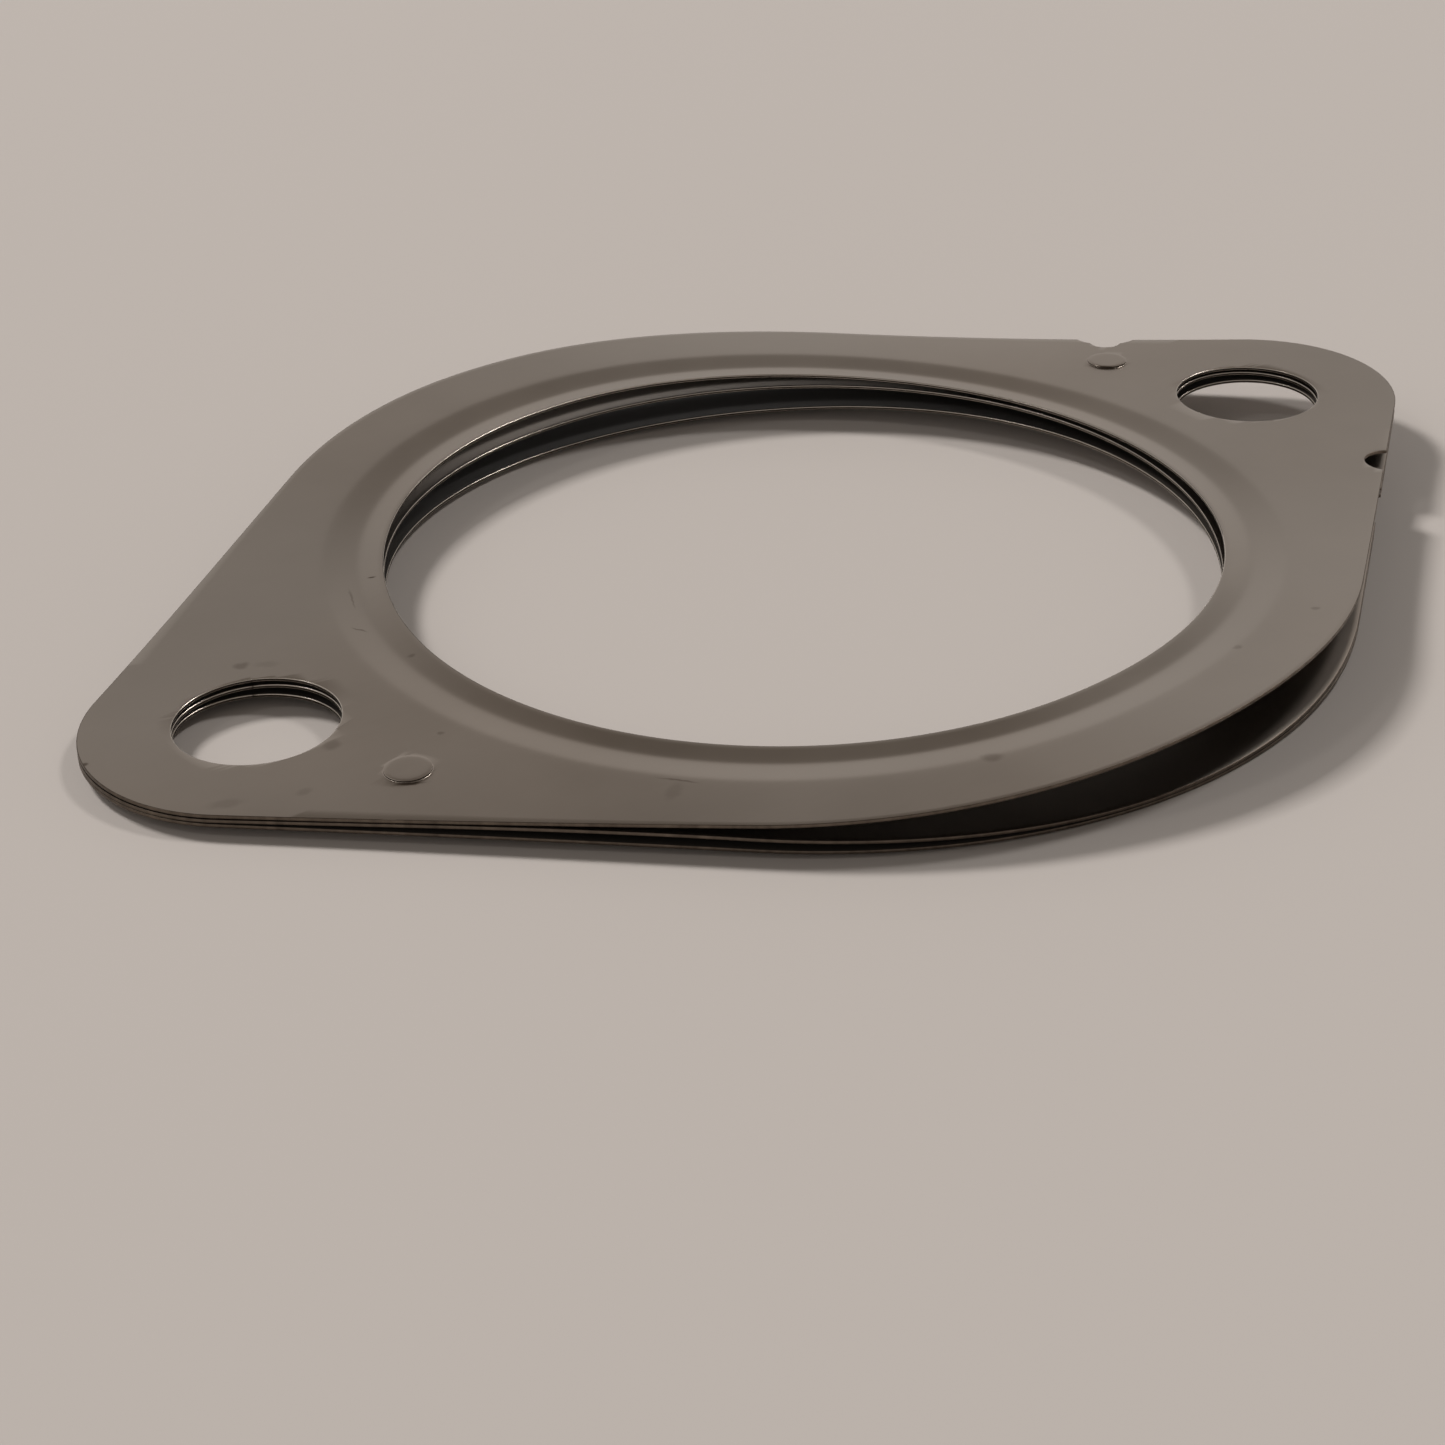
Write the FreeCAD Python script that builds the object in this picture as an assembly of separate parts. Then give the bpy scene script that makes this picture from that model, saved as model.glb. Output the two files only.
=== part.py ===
import FreeCAD, Part
import math
import os

# Two bolt exhaust flange gasket: three thin spring steel sheets of one outline,
# stacked and held together by two clinch buttons, shown as it lies unclamped.
# Millimetres, Z up. X runs from bolt hole to bolt hole, and the origin is on the
# bore's axis, level with the surface that the gasket lies on.

# Plan of every sheet
bore_diameter = 60.0
bolt_hole_diameter = 11.0
bolt_spacing = 87.0
body_radius = 39.6
lobe_radius = 11.5
sheet_thickness = 0.25
sheet_clearance = 0.02

# Pressed bead round the bore: a groove with a lip that rises again to the bore
lip_width = 1.9
bead_outer_width = 2.4
bead_depth = 0.3
lip_rise = 0.24

# Clinch buttons, half sheared upwards through the whole stack
button_radius = 1.45
button_rise = 0.16
button_clearance = 0.05
button_from_bore = 11.2
button_angle = 17.0

# Two round notches in the tangents of the top sheet's right lobe, and the
# long shallow relief of the lower sheets beside the front one
notch_radius = 1.7
notch_depth = 1.25
notch_along = 11.0
relief_length = 5.6
relief_depth = 0.35
relief_from_notch = 0.5

# Rise of the bottom sheet over one reach along X and Y. Its left half lies nearly
# flat, its right lobe springs up, and it rests on its front and back edges.
reach_x = 45.0
reach_y = 35.0
lengthwise_slope = 0.706
lengthwise_bow = 0.689
lengthwise_curl = 0.263
crosswise_bow = -0.755
crosswise_fade = -0.533
twist = 0.117
lobe_twist = 0.356

# How far each sheet springs open from the one below, widest at the front or back
# edge: the gap there, where it is widest along X, how far along X it reaches to
# each side, and how fast it fades towards the other edge
middle_left_gap = 0.36
middle_left_place = -28.0
middle_left_span = 27.0
middle_back_gap = 2.1
middle_back_place = 7.4
middle_back_span = 62.0
middle_back_fade = 0.97
top_front_gap = 4.37
top_front_place = 25.8
top_front_span = 72.0
top_front_fade = 4.05
top_back_gap = 2.22
top_back_place = -15.4
top_back_span = 72.0
top_back_fade = 3.4

# The sprung surfaces are drawn through an even grid, the bead through rings
grid_count = 6
ring_points = 16
blank_margin = 2.0

bore_radius = bore_diameter / 2
bead_radius = bore_radius + lip_width
bead_edge_radius = bead_radius + bead_outer_width
lobe_centre = bolt_spacing / 2
blank_x = lobe_centre + lobe_radius + blank_margin
blank_y = body_radius + blank_margin
button_reach = bore_radius + button_from_bore
tall = 40.0


def opening(x, y, gap, place, span, fade, side):
    """Gap between two sheets that opens towards one side and closes at the rest."""
    along = max(0.0, 1 - ((x - place) / span) ** 2)
    across = max(0.0, (1 + side * y / body_radius) / 2)
    return gap * along * along * across**fade


def bottom_level(x, y):
    """Height of the bottom sheet's upper side, up to a constant."""
    u = x / reach_x
    v = y / reach_y
    along = lengthwise_slope * u + lengthwise_bow * u * u + lengthwise_curl * u**3
    across = (crosswise_bow + crosswise_fade * u) * v * v
    return along + across + (twist + lobe_twist * u) * u * v


def middle_level(x, y):
    """Height of the middle sheet's upper side."""
    gap = opening(x, y, middle_left_gap, middle_left_place, middle_left_span, 0, 1)
    gap += opening(
        x, y, middle_back_gap, middle_back_place, middle_back_span, middle_back_fade, 1
    )
    return bottom_level(x, y) + sheet_thickness + sheet_clearance + gap


def top_level(x, y):
    """Height of the top sheet's upper side."""
    gap = opening(
        x, y, top_front_gap, top_front_place, top_front_span, top_front_fade, -1
    )
    gap += opening(x, y, top_back_gap, top_back_place, top_back_span, top_back_fade, 1)
    return middle_level(x, y) + sheet_thickness + sheet_clearance + gap


def sprung_surface(level):
    """The upper side of a sheet before the bead is pressed, wider than the plan."""
    rows = []
    for column in range(grid_count):
        x = blank_x * (2 * column / (grid_count - 1) - 1)
        row = []
        for place in range(grid_count):
            y = blank_y * (2 * place / (grid_count - 1) - 1)
            row.append(FreeCAD.Vector(x, y, level(x, y)))
        rows.append(row)
    surface = Part.BSplineSurface()
    surface.interpolate(rows)
    return surface


def ring(surface_height, radius, rise):
    """A closed smooth curve round the bore, lifted to the sheet's height."""
    points = []
    for step in range(ring_points):
        angle = 2 * math.pi * step / ring_points
        x = radius * math.cos(angle)
        y = radius * math.sin(angle)
        points.append(FreeCAD.Vector(x, y, surface_height(x, y) + rise))
    curve = Part.BSplineCurve()
    curve.interpolate(Points=points, PeriodicFlag=True)
    return Part.Wire([curve.toShape()])


def bead_groove(level):
    """The space above the bead: from inside the bore out past the bead's edge."""
    lip_grade = lip_rise / lip_width
    flank_grade = bead_depth / bead_outer_width
    inner_radius = bore_radius - blank_margin
    outer_radius = bead_edge_radius + blank_margin
    headroom = 4 * bead_depth
    inner_rise = lip_grade * (bead_radius - inner_radius) - bead_depth
    outer_rise = flank_grade * blank_margin
    rings = [
        ring(level, inner_radius, inner_rise),
        ring(level, bead_radius, -bead_depth),
        ring(level, outer_radius, outer_rise),
        ring(level, outer_radius, outer_rise + headroom),
        ring(level, inner_radius, outer_rise + headroom),
    ]
    return Part.makeLoft(rings, True, True, True)


def tangent_lean():
    """Angle between the straight tangents and the line through the bolt holes."""
    return math.asin((body_radius - lobe_radius) / lobe_centre)


def arc(centre_x, radius, start, end):
    points = []
    for angle in (start, (start + end) / 2, end):
        x = centre_x + radius * math.cos(angle)
        points.append(FreeCAD.Vector(x, radius * math.sin(angle), -tall))
    return Part.Arc(*points).toShape()


def outline_prism():
    """The plan: a round body, two lobes and the straight tangents between them."""
    touch = math.pi / 2 - tangent_lean()
    arcs = [
        arc(lobe_centre, lobe_radius, -touch, touch),
        arc(0, body_radius, touch, math.pi - touch),
        arc(-lobe_centre, lobe_radius, math.pi - touch, math.pi + touch),
        arc(0, body_radius, math.pi + touch, 2 * math.pi - touch),
    ]
    edges = []
    for here, following in zip(arcs, arcs[1:] + arcs[:1]):
        edges.append(here)
        start = here.valueAt(here.LastParameter)
        end = following.valueAt(following.FirstParameter)
        edges.append(Part.LineSegment(start, end).toShape())
    return Part.Face(Part.Wire(edges)).extrude(FreeCAD.Vector(0, 0, 2 * tall))


def post(x, y, radius):
    """A tall upright cylinder, for holes and notches."""
    return Part.makeCylinder(radius, 2 * tall, FreeCAD.Vector(x, y, -tall))


def on_tangent(side, along, outward=0.0):
    """A point by the right lobe's front or back tangent, so far from the lobe."""
    lean = tangent_lean()
    normal = FreeCAD.Vector(math.sin(lean), side * math.cos(lean), 0)
    travel = FreeCAD.Vector(-math.cos(lean), side * math.sin(lean), 0)
    reach = normal * (lobe_radius + outward) + travel * along
    return FreeCAD.Vector(lobe_centre, 0, 0) + reach


def notches():
    """The top sheet's two round notches."""
    outward = notch_radius - notch_depth
    places = [on_tangent(side, notch_along, outward) for side in (-1, 1)]
    return [post(place.x, place.y, notch_radius) for place in places]


def relief():
    """The shallow relief in the front tangent of the lower sheets."""
    start = notch_along + notch_radius + relief_from_notch
    corners = [on_tangent(-1, start), on_tangent(-1, start + relief_length)]
    inward = (corners[1] - corners[0]).cross(FreeCAD.Vector(0, 0, 1)).normalize()
    depth = inward * relief_depth
    corners = [
        corners[0] - depth,
        corners[1] - depth,
        corners[1] + depth,
        corners[0] + depth,
    ]
    base = [FreeCAD.Vector(corner.x, corner.y, -tall) for corner in corners]
    face = Part.Face(Part.makePolygon(base + base[:1]))
    return [face.extrude(FreeCAD.Vector(0, 0, 2 * tall))]


def stamped_sheet(level, radius, cutters):
    """One finished sheet: pressed, blanked, pierced and clinched."""
    body_depth = 8 * sheet_thickness
    below = FreeCAD.Vector(0, 0, -sheet_thickness)
    body = sprung_surface(level).toShape().extrude(FreeCAD.Vector(0, 0, -body_depth))
    body = body.cut(bead_groove(level))
    sheet = body.cut(body.translated(below))
    hole_radius = bolt_hole_diameter / 2
    pierced = [post(0, 0, bore_radius)]
    pierced += [post(side * lobe_centre, 0, hole_radius) for side in (-1, 1)]
    sheet = sheet.common(outline_prism()).cut(pierced + cutters)
    for turn in (button_angle, button_angle + 180):
        x = button_reach * math.cos(math.radians(turn))
        y = button_reach * math.sin(math.radians(turn))
        top = level(x, y) + button_rise
        foot = FreeCAD.Vector(x, y, top - button_rise - sheet_thickness / 2)
        button = Part.makeCylinder(radius, button_rise + sheet_thickness / 2, foot)
        hollow_foot = FreeCAD.Vector(x, y, top - sheet_thickness - tall)
        sheet = sheet.cut(Part.makeCylinder(radius, tall, hollow_foot)).fuse(button)
    return sheet


def build():
    wide = button_radius + button_clearance
    widest = wide + button_clearance
    sheets = {
        "bottom_sheet": stamped_sheet(bottom_level, button_radius, relief()),
        "middle_sheet": stamped_sheet(middle_level, wide, relief()),
        "top_sheet": stamped_sheet(top_level, widest, notches()),
    }
    lowest = sheets["bottom_sheet"].optimalBoundingBox().ZMin
    os.makedirs("parts", exist_ok=True)
    for name, sheet in sheets.items():
        sheet.translate(FreeCAD.Vector(0, 0, -lowest))
        sheet.exportStep("parts/" + name + ".step")
        print(name, len(sheet.Solids), sheet.isValid(), round(sheet.Volume, 2))


build()
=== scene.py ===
import math

import bmesh
import bpy
from mathutils import Matrix, Vector

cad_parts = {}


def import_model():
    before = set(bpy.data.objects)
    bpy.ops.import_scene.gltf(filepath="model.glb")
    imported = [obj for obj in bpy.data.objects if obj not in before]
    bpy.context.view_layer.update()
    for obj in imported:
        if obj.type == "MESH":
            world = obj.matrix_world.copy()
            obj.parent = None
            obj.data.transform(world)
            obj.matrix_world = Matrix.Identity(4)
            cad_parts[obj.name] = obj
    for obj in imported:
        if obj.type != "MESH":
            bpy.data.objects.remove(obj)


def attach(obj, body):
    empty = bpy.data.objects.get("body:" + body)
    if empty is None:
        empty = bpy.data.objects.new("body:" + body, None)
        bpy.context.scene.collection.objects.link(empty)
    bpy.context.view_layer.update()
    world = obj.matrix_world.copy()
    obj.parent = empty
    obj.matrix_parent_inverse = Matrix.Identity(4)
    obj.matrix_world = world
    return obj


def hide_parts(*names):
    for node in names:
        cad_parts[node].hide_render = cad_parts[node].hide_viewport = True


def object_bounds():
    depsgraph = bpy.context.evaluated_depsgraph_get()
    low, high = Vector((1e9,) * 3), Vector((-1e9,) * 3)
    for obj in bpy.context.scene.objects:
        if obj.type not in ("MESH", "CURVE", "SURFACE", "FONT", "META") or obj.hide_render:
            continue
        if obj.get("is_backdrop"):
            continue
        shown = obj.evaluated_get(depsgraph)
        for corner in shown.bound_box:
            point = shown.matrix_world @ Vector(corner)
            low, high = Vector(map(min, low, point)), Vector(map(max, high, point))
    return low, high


# Exhaust flange gasket: three thin sheets of spring steel, clinched together and
# sprung apart. The sheets are shaped in millimetres and brought to metres last.
# X runs from bolt hole to bolt hole, Z is up, and the floor is at zero.

# Plan of every sheet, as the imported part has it
bore_radius = 30.0
bolt_hole_radius = 5.5
lobe_centre = 43.5
bolt_places = ((-lobe_centre, 0), (lobe_centre, 0))
body_radius = 39.6
lobe_radius = 11.5
sheet_thickness = 0.25
sheet_clearance = 0.02

# Pressed bead round the bore
bead_radius = 31.9
bead_edge_radius = 34.3
bead_depth = 0.3
lip_rise = 0.24
bead_corner = 0.28

# Rings of points from the bore outwards, close together where the bead turns, and
# how many even ones follow out to the outline
bead_rings = (bore_radius, 30.45, 30.9, 31.3, 31.55, 31.73, 31.9, 32.07, 32.25)
bead_rings += (32.5, 32.9, 33.3, 33.7, 33.95, 34.13, 34.3, 34.47, 34.65, 34.95)
flange_rings = 11
ring_points = 720

# Clinch buttons, and how far each ring of one lies in from its wall and below its
# top: a foot inside the sheet, a steep wall, an eased corner and a faint crown
button_radius = 1.45
button_rise = 0.16
button_clearance = 0.05
button_places = ((39.4, 12.05), (-38.7, -11.5))
button_rings = ((0, 0.28), (0, 0.045), (0.02, 0.02))
button_rings += ((0.07, 0.008), (0.3, 0.002), (0.7, 0))
button_points = 72

# Notches in the right lobe's tangents, each struck by round punches: the side, the
# punch's radius and how deep it goes. The back notch has wide shoulders and goes
# through the lower sheets too, which have a long shallow relief at the front.
notch_along = 11.0
upper_notches = ((-1, 1.85, 1.5), (1, 1.2, 1.75))
lower_notches = ((1, 1.2, 1.45),)
shoulder_punch = (2.9, 1.1)
relief_start = 13.2
relief_length = 5.6
relief_depth = 0.35

# How far the punches reach over and under the flat sheet, and how round they are
punch_reach = 1.0
hole_points = 128
small_points = 64

# Edges eased by the punch and by handling, where they turn by more than so many
# degrees, and the turn from which the shading keeps an edge crisp
edge_round = 0.06
edge_steps = 3
eased_turn = 50
crisp_turn = 35

# What each finish of a sheet is, by its place in the sheet's list of materials
upper_side, shaded_pierced_wall, worn_rim, lower_side, blanked_wall = range(5)

# A wall faces less upwards than this, and a worn rim between these two shares.
# Walls past the bore's edges and clear of the holes are the outline's.
wall_slant = 0.5
rim_slants = (0.2, 0.985)
bore_edges_end = 33.0
hole_edges_end = bolt_hole_radius + 0.3

# Height of the bottom sheet's middle over the floor, and its rise over one reach
middle_height = 1.21914
reach_x = 45.0
reach_y = 35.0
lengthwise_slope = 0.706
lengthwise_bow = 0.689
lengthwise_curl = 0.263
crosswise_bow = -0.755
crosswise_fade = -0.533
twist = 0.117
lobe_twist = 0.356

# Each gap between two sheets: how wide, where along X, how far it reaches along X,
# how fast it fades across, and towards which side it opens
middle_left_gap = (0.36, -28.0, 27.0, 0, 1)
middle_back_gap = (2.1, 7.4, 62.0, 0.97, 1)
top_front_gap = (4.37, 25.8, 72.0, 4.05, -1)
top_back_gap = (2.22, -15.4, 72.0, 3.38, 1)

# Camera as the photograph was taken: metres, degrees and the lens's millimetres
camera_place = (-0.110132, -0.152446, 0.089049)
camera_turn = (61.783, 0.73, -34.435)
camera_lens = 71.4
camera_film = 36.0
camera_near = 0.01

# Colours, as shares of the light that they send back
steel_dark = (0.405, 0.348, 0.3)
steel_light = (0.495, 0.43, 0.375)
steel_cool = (0.45, 0.42, 0.39)
# Near-black painted shade for the sides of the sheets that face each other, darkening the
# gaps
gap_shade_colour = (0.035, 0.03, 0.026)
# Brown of the marks, also used for the painted shade at the buttons' feet
mark_and_shade_brown = (0.12, 0.085, 0.06)
# Painted shade: the walls of the holes, the bore and the buttons are a near-black copy of
# the cut walls, far darker than the outline's
shaded_wall_dark = (0.02, 0.016, 0.013)
shaded_wall_light = (0.08, 0.063, 0.05)
edge_dark = (0.065, 0.052, 0.042)
edge_light = (0.22, 0.178, 0.142)
rim_dull = (0.45, 0.4, 0.35)
rim_bright = (0.9, 0.83, 0.75)
floor_colour = (0.5, 0.465, 0.44, 1)

# Rolled finish: noise scales, how much cool tone it has, its satin, and the shallow
# grain along X that the rolls leave
cloud = {"scale": 55.0, "detail": 5.0, "low": 0.32, "high": 0.68}
patch = {"scale": 24.0, "detail": 2.0, "low": 0.38, "high": 0.62}
cool_share = 0.35
satin_roughness = (0.28, 0.33)
grain_stretch = (90.0, 2600.0, 2600.0)
grain_strength = 0.12
grain_depth = 0.00002

# Other finishes: roughness, streaks down the cut walls and wear along the rims
gap_shade_roughness = 0.5
wall_roughness = 0.42
wall_streaks = (1500.0, 1500.0, 60.0)
rim_roughness = 0.26
rim_wear_scale = 160.0
floor_roughness = 0.75
floor_sheen = 0.3
floor_reach = 3.0

# The room: its tone low down and overhead, the way that it leans, and how far up
# that way the one turns into the other
room_low = (0.515, 0.49, 0.466, 1)
room_high = (0.145, 0.127, 0.109, 1)
room_lean = (0.176, -0.11, 0.978)
room_turn = (0.41, 0.6)

# Soft lamps: turn and lift of the way to each in degrees, its width and power as at
# one metre, and whether it glints in the steel
lamp_colour = (1.0, 0.97, 0.945)
lamp_distance = 6.0
lamps = {
    "back_window": (105, 41, 0.19, 8.1, False),
    "right_window": (6, 50, 0.16, 2.5, True),
    "left_glint": (150, 48, 0.12, 0.5, True),
}

# Marks on the upper sheet, and painted shade at the buttons' front feet: place, half
# length and width, turn and strength. Their outlines fray by about this much, and each
# fades from this share of its size.
mark_fray = (0.5, 0.5, 0)
mark_fray_scale = 1.1
mark_core = 0.3
any_height = 1e6
marks_and_shade = {
    "pit": ((-28.0, 13.0), (0.42, 0.16), -34, 1.0),
    "scribed_line": ((-26.05, -23.1), (1.7, 0.16), -52, 0.45),
    "smudge_under_line": ((-27.0, -24.0), (0.7, 1.5), -52, 0.16),
    "thumb_smudge": ((-41.1, 7.1), (0.8, 0.6), 0, 0.38),
    "thumb_smudge_end": ((-39.6, 6.2), (1.2, 0.6), -30, 0.14),
    "hole_smudge": ((-41.1, -5.8), (0.9, 0.7), 30, 0.3),
    "front_smudge": ((-49.6, -8.1), (1.6, 0.7), -20, 0.18),
    "front_spot": ((-45.1, -9.8), (0.8, 0.5), 0, 0.18),
    "bead_scratch": ((-32.4, 6.8), (0.8, 0.14), -60, 0.5),
    "bead_speck": ((-34.9, -8.9), (0.35, 0.25), 0, 0.35),
    "lip_speck": ((-31.2, 1.5), (0.45, 0.3), 0, 0.35),
    "front_smear": ((-9.5, -33.2), (1.0, 0.8), -34, 0.4),
    "right_speck": ((11.8, -32.4), (0.45, 0.4), 0, 0.3),
    "rust_speck": ((19.8, -31.5), (0.4, 0.35), 0, 0.35),
    "groove_line": ((-30.6, 11.1), (1.9, 0.13), 71, 0.35),
    # Painted shade: a dark band along the front foot of each button
    "left_button_shade": ((-39.46, -13.0), (1.35, 0.24), -27, 0.85),
    "right_button_shade": ((38.35, 10.88), (1.2, 0.24), -42, 0.8),
    "edge_nick": ((-54.7, 1.6), (0.35, 0.3), 0, 0.8),
}

millimetre = 0.001


def opening(x, y, gap, place, span, fade, side):
    """Gap between two sheets that opens towards one side and closes at the rest."""
    along = max(0.0, 1 - ((x - place) / span) ** 2)
    across = max(0.0, (1 + side * y / body_radius) / 2)
    return gap * along * along * across**fade


def bottom_level(x, y):
    """Height of the bottom sheet's upper side."""
    u = x / reach_x
    v = y / reach_y
    along = lengthwise_slope * u + lengthwise_bow * u * u + lengthwise_curl * u**3
    across = (crosswise_bow + crosswise_fade * u) * v * v
    return middle_height + along + across + (twist + lobe_twist * u) * u * v


def middle_level(x, y):
    """Height of the middle sheet's upper side."""
    gap = opening(x, y, *middle_left_gap) + opening(x, y, *middle_back_gap)
    return bottom_level(x, y) + sheet_thickness + sheet_clearance + gap


def top_level(x, y):
    """Height of the top sheet's upper side."""
    gap = opening(x, y, *top_front_gap) + opening(x, y, *top_back_gap)
    return middle_level(x, y) + sheet_thickness + sheet_clearance + gap


def rounded_ramp(distance):
    """Rises with the distance past zero, with a small round at the corner."""
    return (distance + math.hypot(distance, bead_corner)) / 2


def bead_rise(radius):
    """Height of the pressed bead over the sheet's flat."""
    lip = lip_rise / (bead_radius - bore_radius) * rounded_ramp(bead_radius - radius)
    flank = rounded_ramp(radius - bead_radius) - rounded_ramp(radius - bead_edge_radius)
    return lip + bead_depth / (bead_edge_radius - bead_radius) * flank - bead_depth


def outline_radius(angle):
    """How far the sheet reaches from the bore's axis in one direction."""
    along = abs(math.cos(angle))
    across = abs(math.sin(angle))
    lean = math.asin((body_radius - lobe_radius) / lobe_centre)
    touch = math.atan2(
        lobe_radius * math.cos(lean), lobe_centre + lobe_radius * math.sin(lean)
    )
    direction = math.atan2(across, along)
    if direction < touch:
        return lobe_centre * along + math.sqrt(
            lobe_radius**2 - (lobe_centre * across) ** 2
        )
    if direction < math.pi / 2 - lean:
        return body_radius / (math.sin(lean) * along + math.cos(lean) * across)
    return body_radius


def on_tangent(side, along, inward=0.0):
    """A point on the right lobe's front or back tangent, so far from the lobe."""
    lean = math.asin((body_radius - lobe_radius) / lobe_centre)
    normal = Vector((math.sin(lean), side * math.cos(lean), 0))
    travel = Vector((-math.cos(lean), side * math.sin(lean), 0))
    start = Vector((lobe_centre, 0, 0)) + normal * (lobe_radius - inward)
    return start + travel * along


def new_piece(name, bm, materials):
    mesh = bpy.data.meshes.new(name)
    bm.to_mesh(mesh)
    bm.free()
    for material in materials:
        mesh.materials.append(material)
    piece = bpy.data.objects.new(name, mesh)
    bpy.context.scene.collection.objects.link(piece)
    return piece


def settle(piece):
    """Makes the piece's modifiers part of its mesh."""
    bpy.context.view_layer.update()
    graph = bpy.context.evaluated_depsgraph_get()
    finished = bpy.data.meshes.new_from_object(piece.evaluated_get(graph))
    piece.modifiers.clear()
    piece.data = finished


def ring_reach(ring, angle):
    """How far a ring of points lies from the bore's axis in one direction."""
    if ring < len(bead_rings):
        return bead_rings[ring]
    start = bead_rings[-1]
    share = (ring - len(bead_rings) + 1) / flange_rings
    return start + share * (outline_radius(angle) - start)


def blank_sheet():
    """A flat ring of sheet from the bore out to the outline, still open at a seam."""
    bm = bmesh.new()
    rows = len(bead_rings) + flange_rings - 1
    bmesh.ops.create_grid(bm, x_segments=ring_points, y_segments=rows, size=0.5)
    for vert in bm.verts:
        spoke = round((vert.co.x + 0.5) * ring_points)
        ring = round((0.5 - vert.co.y) * rows)
        angle = 2 * math.pi * spoke / ring_points
        reach = ring_reach(ring, angle)
        vert.co = Vector((math.cos(angle), math.sin(angle), 0)) * reach
    return bm


def round_punch(bm, x, y, radius, high, segments):
    """An upright cylinder, from well under the sheet up to one height.

    It is turned by half a step, so that no corner meets a spoke of the sheet.
    """
    low = -punch_reach
    turned = Matrix.Rotation(math.pi / segments, 4, "Z")
    made = bmesh.ops.create_cone(
        bm,
        cap_ends=True,
        segments=segments,
        radius1=radius,
        radius2=radius,
        depth=high - low,
        matrix=Matrix.Translation((x, y, (low + high) / 2)) @ turned,
    )
    return made["verts"]


def near_to(place, spots, reach):
    """Whether a place is within reach of any of the spots, seen from above."""
    return any(math.hypot(place.x - x, place.y - y) < reach for x, y in spots)


def notch_punch(bm, side, size, depth):
    place = on_tangent(side, notch_along, depth - size)
    round_punch(bm, place.x, place.y, size, punch_reach, small_points)


def punches(name, radius, notched):
    """What is struck out of one sheet, in two strokes that don't overlap."""
    bm = bmesh.new()
    for x, y in bolt_places:
        round_punch(bm, x, y, bolt_hole_radius, punch_reach, hole_points)
    for side, size, depth in upper_notches if notched else lower_notches:
        notch_punch(bm, side, size, depth)
    if not notched:
        middle = on_tangent(-1, relief_start + relief_length / 2)
        lean = math.asin((body_radius - lobe_radius) / lobe_centre)
        size = Matrix.Diagonal((relief_length, 2 * relief_depth, 2 * punch_reach, 1))
        turned = Matrix.Translation(middle) @ Matrix.Rotation(lean, 4, "Z")
        bmesh.ops.create_cube(bm, size=1, matrix=turned @ size)
    hollow_top = button_rise - sheet_thickness
    for x, y in button_places:
        round_punch(bm, x, y, radius, hollow_top, small_points)
    yield new_piece(name + "_punches", bm, [])
    bm = bmesh.new()
    notch_punch(bm, 1, *shoulder_punch)
    yield new_piece(name + "_shoulders", bm, [])


def fit_ring(verts, x, y, radius, height):
    """Moves a ring of points to its radius and height round one button."""
    for vert in verts:
        angle = math.atan2(vert.co.y - y, vert.co.x - x)
        place = (x + radius * math.cos(angle), y + radius * math.sin(angle), height)
        vert.co = Vector(place)


def raised_buttons(name, radius):
    """The two buttons over a sheet, each closed from its foot to its crown."""
    bm = bmesh.new()
    rings = [(radius - inset, button_rise - drop) for inset, drop in button_rings]
    for x, y in button_places:
        verts = round_punch(bm, x, y, radius, button_rise, button_points)
        bm.normal_update()
        faces = [face for vert in verts for face in vert.link_faces]
        crown = max(faces, key=lambda face: face.normal.z)
        fit_ring([vert for vert in verts if vert.co.z < 0], x, y, *rings[0])
        fit_ring(crown.verts, x, y, *rings[1])
        for ring in rings[2:]:
            bmesh.ops.inset_individual(bm, faces=[crown], thickness=edge_round)
            fit_ring(crown.verts, x, y, *ring)
    return new_piece(name, bm, [])


def carve(piece, tool, operation):
    """Cuts the tool out of the piece or joins it on, and does away with it."""
    change = piece.modifiers.new(operation.title(), "BOOLEAN")
    change.operation = operation
    change.solver = "EXACT"
    change.object = tool
    settle(piece)
    bpy.data.objects.remove(tool)


def finish_of(face, button_reach):
    """Which finish a face of the eased sheet has, by its place and direction."""
    place = face.center / millimetre
    upwards = face.normal.z
    slant = abs(upwards)
    finish = face.material_index
    if near_to(place, button_places, button_reach):
        finish = upper_side if upwards > wall_slant else shaded_pierced_wall
    elif finish == shaded_pierced_wall and rim_slants[0] < slant < rim_slants[1]:
        finish = worn_rim
    if finish == upper_side:
        return lower_side if upwards < 0 else upper_side
    outer = math.hypot(place.x, place.y) > bore_edges_end
    if outer and not near_to(place, bolt_places + button_places, hole_edges_end):
        return blanked_wall
    return finish


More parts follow.
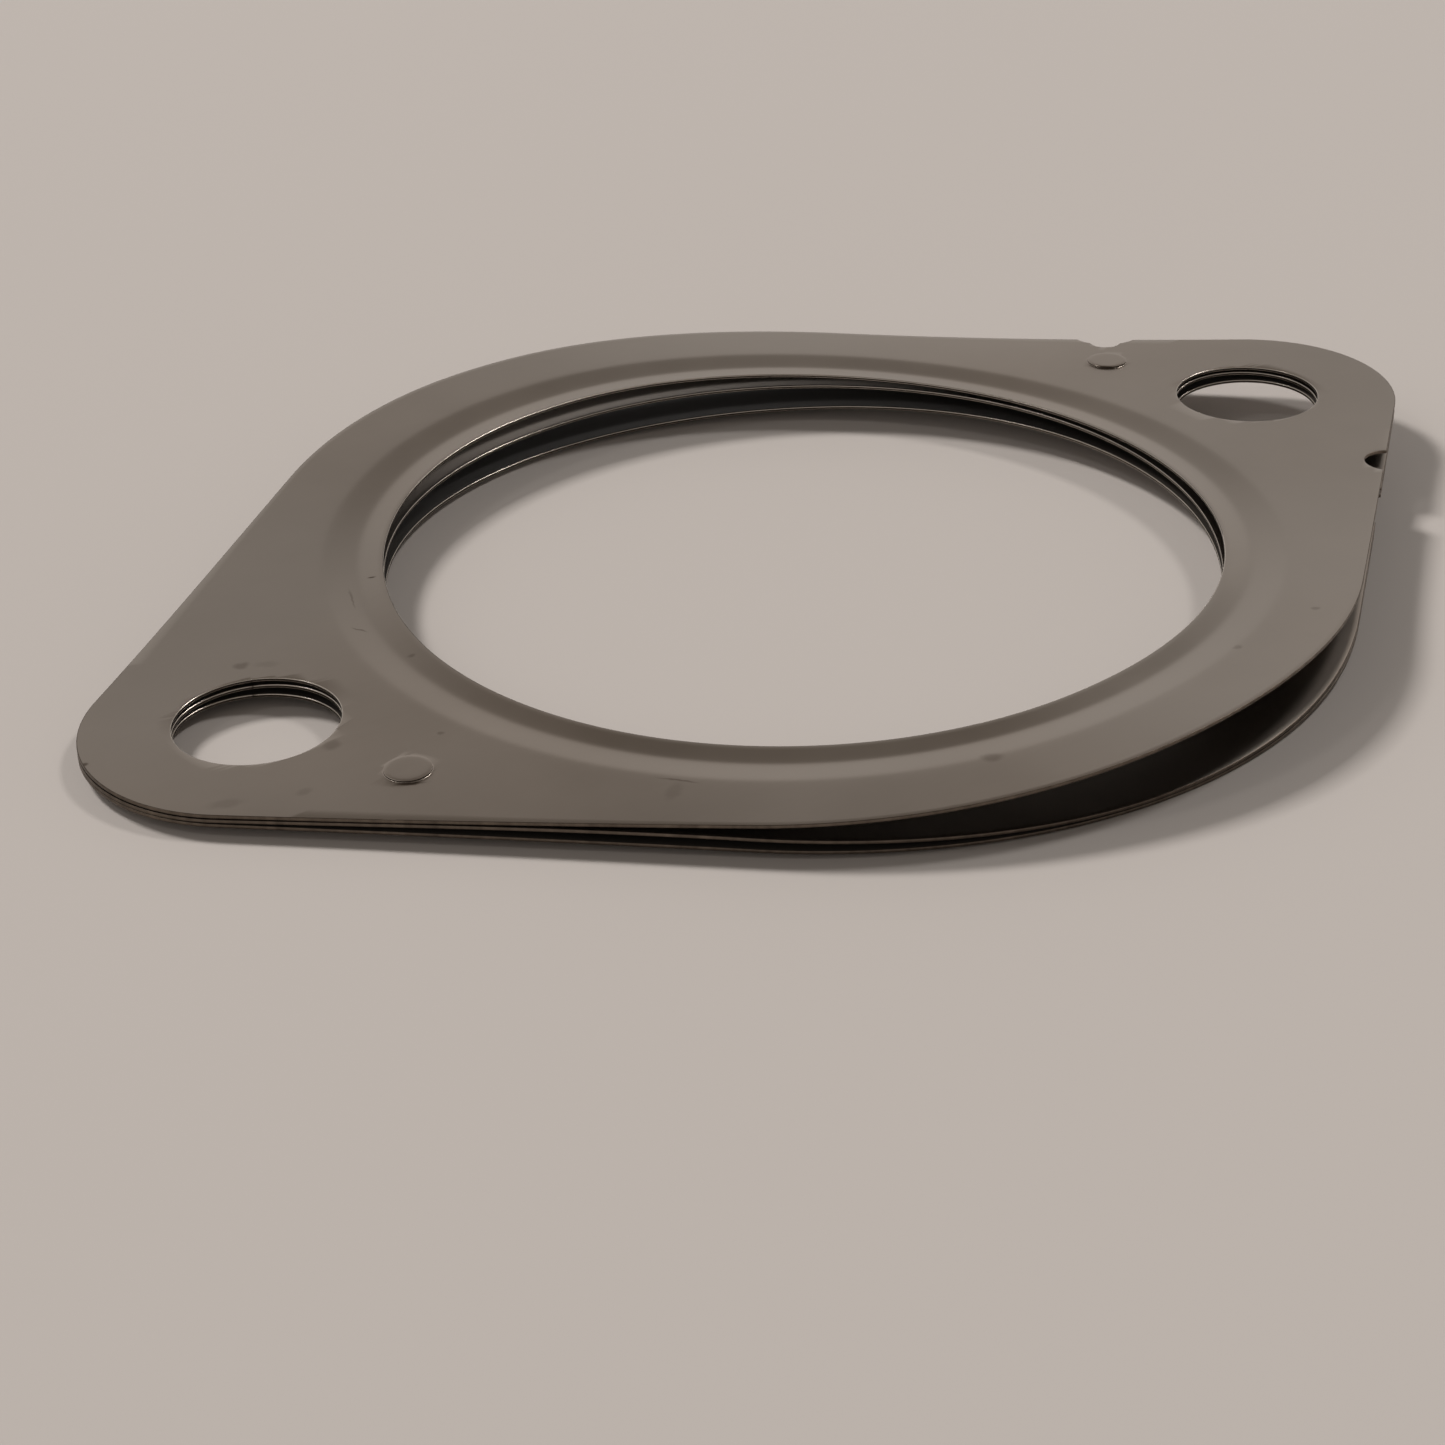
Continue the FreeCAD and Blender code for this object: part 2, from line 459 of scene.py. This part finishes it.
def stamped_sheet(name, node, level, radius, notched, materials):
    """One sheet: blanked flat, struck, sprung into shape and eased at its edges."""
    sheet = new_piece(name, blank_sheet(), materials)
    sheet.modifiers.new("Closed seam", "WELD")
    thick = sheet.modifiers.new("Thickness", "SOLIDIFY")
    thick.thickness = sheet_thickness
    settle(sheet)
    for cutter in punches(name, radius, notched):
        carve(sheet, cutter, "DIFFERENCE")
    carve(sheet, raised_buttons(name + "_buttons", radius), "UNION")
    for vert in sheet.data.vertices:
        x, y, z = vert.co
        vert.co.z = z + level(x, y) + bead_rise(math.hypot(x, y))
    for face in sheet.data.polygons:
        wall = abs(face.normal.z) < wall_slant
        face.material_index = shaded_pierced_wall if wall else upper_side
    close = sheet.modifiers.new("Close points", "WELD")
    close.merge_threshold = edge_round / 2
    ease = sheet.modifiers.new("Eased edges", "BEVEL")
    ease.use_clamp_overlap = False
    ease.width = edge_round
    ease.segments = edge_steps
    ease.limit_method = "ANGLE"
    ease.angle_limit = math.radians(eased_turn)
    ease.material = shaded_pierced_wall
    settle(sheet)
    sheet.data.transform(Matrix.Scale(millimetre, 4))
    for face in sheet.data.polygons:
        face.use_smooth = True
        face.material_index = finish_of(face, radius + 2 * edge_round)
    sheet.data.set_sharp_from_angle(angle=math.radians(crisp_turn))
    even = sheet.modifiers.new("Even flats", "WEIGHTED_NORMAL")
    even.keep_sharp = True
    settle(sheet)
    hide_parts(node)
    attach(sheet, "root")


def faded_spot(group, place, size, turn, strength):
    """The first and last node of one soft edged oval in the group of marks."""
    nodes = group.nodes
    links = group.links
    shift = nodes.new("ShaderNodeVectorMath")
    shift.operation = "SUBTRACT"
    shift.inputs[1].default_value = (place[0], place[1], 0)
    rotate = nodes.new("ShaderNodeVectorRotate")
    rotate.rotation_type = "Z_AXIS"
    rotate.inputs["Angle"].default_value = -math.radians(turn)
    scale = nodes.new("ShaderNodeVectorMath")
    scale.operation = "DIVIDE"
    scale.inputs[1].default_value = (size[0], size[1], any_height)
    reach = nodes.new("ShaderNodeVectorMath")
    reach.operation = "LENGTH"
    fade = nodes.new("ShaderNodeMapRange")
    fade.interpolation_type = "SMOOTHSTEP"
    fade.inputs["From Min"].default_value = mark_core
    fade.inputs["From Max"].default_value = 1.0
    fade.inputs["To Min"].default_value = strength
    fade.inputs["To Max"].default_value = 0.0
    links.new(shift.outputs["Vector"], rotate.inputs["Vector"])
    links.new(rotate.outputs["Vector"], scale.inputs[0])
    links.new(scale.outputs["Vector"], reach.inputs[0])
    links.new(reach.outputs["Value"], fade.inputs["Value"])
    return shift, fade


def marks_and_button_shade():
    """Where fingers, a scribe and other parts have marked the upper sheet, and painted
    shade along the front foot of each button.
    """
    group = bpy.data.node_groups.new("marks_and_button_shade", "ShaderNodeTree")
    group.interface.new_socket("Vector", in_out="INPUT", socket_type="NodeSocketVector")
    group.interface.new_socket("Amount", in_out="OUTPUT", socket_type="NodeSocketFloat")
    entry = group.nodes.new("NodeGroupInput")
    exit_node = group.nodes.new("NodeGroupOutput")
    to_millimetres = group.nodes.new("ShaderNodeVectorMath")
    to_millimetres.operation = "SCALE"
    to_millimetres.inputs["Scale"].default_value = 1 / millimetre
    group.links.new(entry.outputs["Vector"], to_millimetres.inputs[0])
    wander = group.nodes.new("ShaderNodeTexNoise")
    wander.inputs["Scale"].default_value = mark_fray_scale
    wander.inputs["Detail"].default_value = 3.0
    group.links.new(to_millimetres.outputs["Vector"], wander.inputs["Vector"])
    centred = group.nodes.new("ShaderNodeVectorMath")
    centred.operation = "SUBTRACT"
    centred.inputs[1].default_value = (0.5, 0.5, 0.5)
    group.links.new(wander.outputs["Color"], centred.inputs[0])
    frayed = group.nodes.new("ShaderNodeVectorMath")
    frayed.operation = "MULTIPLY_ADD"
    frayed.inputs[1].default_value = mark_fray
    group.links.new(centred.outputs["Vector"], frayed.inputs[0])
    group.links.new(to_millimetres.outputs["Vector"], frayed.inputs[2])
    total = None
    for place, size, turn, strength in marks_and_shade.values():
        shift, fade = faded_spot(group, place, size, turn, strength)
        group.links.new(frayed.outputs["Vector"], shift.inputs[0])
        if total is None:
            total = fade.outputs["Result"]
            continue
        join = group.nodes.new("ShaderNodeMath")
        join.operation = "MAXIMUM"
        group.links.new(total, join.inputs[0])
        group.links.new(fade.outputs["Result"], join.inputs[1])
        total = join.outputs["Value"]
    group.links.new(total, exit_node.inputs["Amount"])
    return group


def rolling_finish():
    """Cloudy tone, fine rolling grain and roughness of cold rolled strip."""
    group = bpy.data.node_groups.new("rolling_finish", "ShaderNodeTree")
    group.interface.new_socket("Vector", in_out="INPUT", socket_type="NodeSocketVector")
    for name in ("Cloud", "Patch", "Grain"):
        group.interface.new_socket(name, in_out="OUTPUT", socket_type="NodeSocketFloat")
    entry = group.nodes.new("NodeGroupInput")
    exit_node = group.nodes.new("NodeGroupOutput")
    for name, mottle in (("Cloud", cloud), ("Patch", patch)):
        noise = group.nodes.new("ShaderNodeTexNoise")
        noise.inputs["Scale"].default_value = mottle["scale"]
        noise.inputs["Detail"].default_value = mottle["detail"]
        spread = group.nodes.new("ShaderNodeMapRange")
        spread.inputs["From Min"].default_value = mottle["low"]
        spread.inputs["From Max"].default_value = mottle["high"]
        group.links.new(entry.outputs["Vector"], noise.inputs["Vector"])
        group.links.new(noise.outputs["Fac"], spread.inputs["Value"])
        group.links.new(spread.outputs["Result"], exit_node.inputs[name])
    stretch = group.nodes.new("ShaderNodeVectorMath")
    stretch.operation = "MULTIPLY"
    stretch.inputs[1].default_value = grain_stretch
    grain = group.nodes.new("ShaderNodeTexNoise")
    grain.inputs["Scale"].default_value = 1.0
    grain.inputs["Detail"].default_value = 3.0
    group.links.new(entry.outputs["Vector"], stretch.inputs[0])
    group.links.new(stretch.outputs["Vector"], grain.inputs["Vector"])
    group.links.new(grain.outputs["Fac"], exit_node.inputs["Grain"])
    return group


def new_material(name, roughness):
    material = bpy.data.materials.new(name)
    material.use_nodes = True
    shader = material.node_tree.nodes["Principled BSDF"]
    shader.inputs["Roughness"].default_value = roughness
    return material, shader


def metal(name, roughness):
    """A bare metal, its shader and the place on the piece that its tones follow."""
    material, shader = new_material(name, roughness)
    shader.inputs["Metallic"].default_value = 1.0
    place = material.node_tree.nodes.new("ShaderNodeTexCoord")
    return material, shader, place.outputs["Object"]


def use_group(material, group, place):
    """Puts a shared effect into a material and gives the effect's outputs."""
    node = material.node_tree.nodes.new("ShaderNodeGroup")
    node.node_tree = group
    material.node_tree.links.new(place, node.inputs["Vector"])
    return node.outputs


def blend(material, factor, first, second):
    """Mixes two colours, each a plain value or another node's output."""
    links = material.node_tree.links
    mix = material.node_tree.nodes.new("ShaderNodeMix")
    mix.data_type = "RGBA"
    links.new(factor, mix.inputs["Factor"])
    for socket, colour in (("A", first), ("B", second)):
        if isinstance(colour, tuple):
            mix.inputs[socket].default_value = colour + (1,)
        else:
            links.new(colour, mix.inputs[socket])
    return mix.outputs["Result"]


def span(material, factor, low, high):
    """Brings a value between nought and one into the range from low to high."""
    fit = material.node_tree.nodes.new("ShaderNodeMapRange")
    fit.inputs["To Min"].default_value = low
    fit.inputs["To Max"].default_value = high
    material.node_tree.links.new(factor, fit.inputs["Value"])
    return fit.outputs["Result"]


def rolled_steel(finish, marked):
    """The sheets' flat sides: satin spring steel, faintly mottled by handling."""
    name = "marked_steel" if marked else "rolled_steel"
    material, shader, place = metal(name, satin_roughness[1])
    links = material.node_tree.links
    sides = use_group(material, finish, place)
    tone = blend(material, sides["Cloud"], steel_dark, steel_light)
    cool = span(material, sides["Patch"], 0.0, cool_share)
    tone = blend(material, cool, tone, steel_cool)
    satin = span(material, sides["Cloud"], *satin_roughness)
    if marked:
        # The marks include painted shade along the front foot of each button
        amount = use_group(material, marked, place)["Amount"]
        tone = blend(material, amount, tone, mark_and_shade_brown)
    links.new(tone, shader.inputs["Base Color"])
    links.new(satin, shader.inputs["Roughness"])
    bump = material.node_tree.nodes.new("ShaderNodeBump")
    bump.inputs["Strength"].default_value = grain_strength
    bump.inputs["Distance"].default_value = grain_depth
    links.new(sides["Grain"], bump.inputs["Height"])
    links.new(bump.outputs["Normal"], shader.inputs["Normal"])
    return material


def gap_shade_coat():
    """Painted shade: a near-black finish on the sheets' facing sides, darkening the gaps
    between them.
    """
    material, shader = new_material("gap_shade_coat", gap_shade_roughness)
    shader.inputs["Base Color"].default_value = gap_shade_colour + (1,)
    return material


def sheared_steel(name, dark, light):
    """A cut wall: dull, brownish and streaked by the punch. The near-black copy in the
    holes, the bore and round the buttons is painted shade.
    """
    material, shader, place = metal(name, wall_roughness)
    links = material.node_tree.links
    stretch = material.node_tree.nodes.new("ShaderNodeVectorMath")
    stretch.operation = "MULTIPLY"
    stretch.inputs[1].default_value = wall_streaks
    streak = material.node_tree.nodes.new("ShaderNodeTexNoise")
    streak.inputs["Scale"].default_value = 1.0
    links.new(place, stretch.inputs[0])
    links.new(stretch.outputs["Vector"], streak.inputs["Vector"])
    tone = blend(material, streak.outputs["Fac"], dark, light)
    links.new(tone, shader.inputs["Base Color"])
    return material


def burnished_steel():
    """The rounded edges, which the punch and handling have polished."""
    material, shader, place = metal("burnished_steel", rim_roughness)
    links = material.node_tree.links
    wear = material.node_tree.nodes.new("ShaderNodeTexNoise")
    wear.inputs["Scale"].default_value = rim_wear_scale
    wear.inputs["Detail"].default_value = 4.0
    links.new(place, wear.inputs["Vector"])
    tone = blend(material, wear.outputs["Fac"], rim_dull, rim_bright)
    links.new(tone, shader.inputs["Base Color"])
    return material


def pale_floor():
    material, shader = new_material("pale_floor", floor_roughness)
    shader.inputs["Base Color"].default_value = floor_colour
    shader.inputs["Specular IOR Level"].default_value = floor_sheen
    bm = bmesh.new()
    bmesh.ops.create_grid(bm, x_segments=1, y_segments=1, size=floor_reach)
    new_piece("floor", bm, [material])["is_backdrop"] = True


def soft_room():
    """A soft room: bright low down like the sweep of a table, darker overhead."""
    world = bpy.data.worlds.new("soft_room")
    bpy.context.scene.world = world
    world.use_nodes = True
    nodes = world.node_tree.nodes
    links = world.node_tree.links
    place = nodes.new("ShaderNodeTexCoord")
    lean = nodes.new("ShaderNodeVectorMath")
    lean.operation = "DOT_PRODUCT"
    lean.inputs[1].default_value = room_lean
    links.new(place.outputs["Generated"], lean.inputs[0])
    ramp = nodes.new("ShaderNodeValToRGB")
    ramp.color_ramp.interpolation = "EASE"
    low, high = ramp.color_ramp.elements
    low.position = room_turn[0]
    low.color = room_low
    high.position = room_turn[1]
    high.color = room_high
    links.new(lean.outputs["Value"], ramp.inputs["Fac"])
    background = nodes["Background"]
    links.new(ramp.outputs["Color"], background.inputs["Color"])


def soft_lamp(name, turn, lift, spread, power, glints):
    """A square soft lamp well away, its size and power as they are at one metre."""
    lamp = bpy.data.lights.new(name, "AREA")
    lamp.energy = power * lamp_distance**2
    lamp.size = spread * lamp_distance
    lamp.color = lamp_colour
    holder = bpy.data.objects.new(name, lamp)
    bpy.context.scene.collection.objects.link(holder)
    turn = math.radians(turn)
    lift = math.radians(lift)
    side = math.cos(lift)
    way = Vector((side * math.cos(turn), side * math.sin(turn), math.sin(lift)))
    holder.location = way * lamp_distance
    holder.visible_glossy = glints
    aim = Vector((0, 0, 0)) - holder.location
    holder.rotation_euler = aim.to_track_quat("-Z", "Y").to_euler()


def photographer():
    """The camera, where the photograph was taken from."""
    lens = bpy.data.cameras.new("camera")
    lens.lens = camera_lens
    lens.sensor_width = camera_film
    lens.clip_start = camera_near
    holder = bpy.data.objects.new("camera", lens)
    bpy.context.scene.collection.objects.link(holder)
    holder.location = camera_place
    holder.rotation_euler = [math.radians(turn) for turn in camera_turn]
    bpy.context.scene.camera = holder


def main():
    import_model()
    cad_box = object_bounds()
    finish = rolling_finish()
    cut = [sheared_steel("shaded_pierced_wall", shaded_wall_dark, shaded_wall_light), burnished_steel()]
    outer = sheared_steel("blanked_edge", edge_dark, edge_light)
    plain = rolled_steel(finish, None)
    marked = rolled_steel(finish, marks_and_button_shade())
    gap_shade = gap_shade_coat()
    wide = button_radius + button_clearance
    widest = wide + button_clearance
    # Painted shade on the facing sides: the lower sheet's upper side and the other sheets'
    # undersides
    lower = [gap_shade, *cut, plain, outer]
    inner = [plain, *cut, gap_shade, outer]
    upper = [marked, *cut, gap_shade, outer]
    stamped_sheet(
        "lower_sheet", "bottom_sheet", bottom_level, button_radius, False, lower
    )
    stamped_sheet("inner_sheet", "middle_sheet", middle_level, wide, False, inner)
    stamped_sheet("upper_sheet", "top_sheet", top_level, widest, True, upper)
    pale_floor()
    soft_room()
    for name, lamp in lamps.items():
        soft_lamp(name, *lamp)
    photographer()
    bpy.context.scene.view_settings.view_transform = "Standard"
    boxes = {"cad": cad_box, "visual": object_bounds()}
    corners = {name: [list(corner) for corner in box] for name, box in boxes.items()}


main()
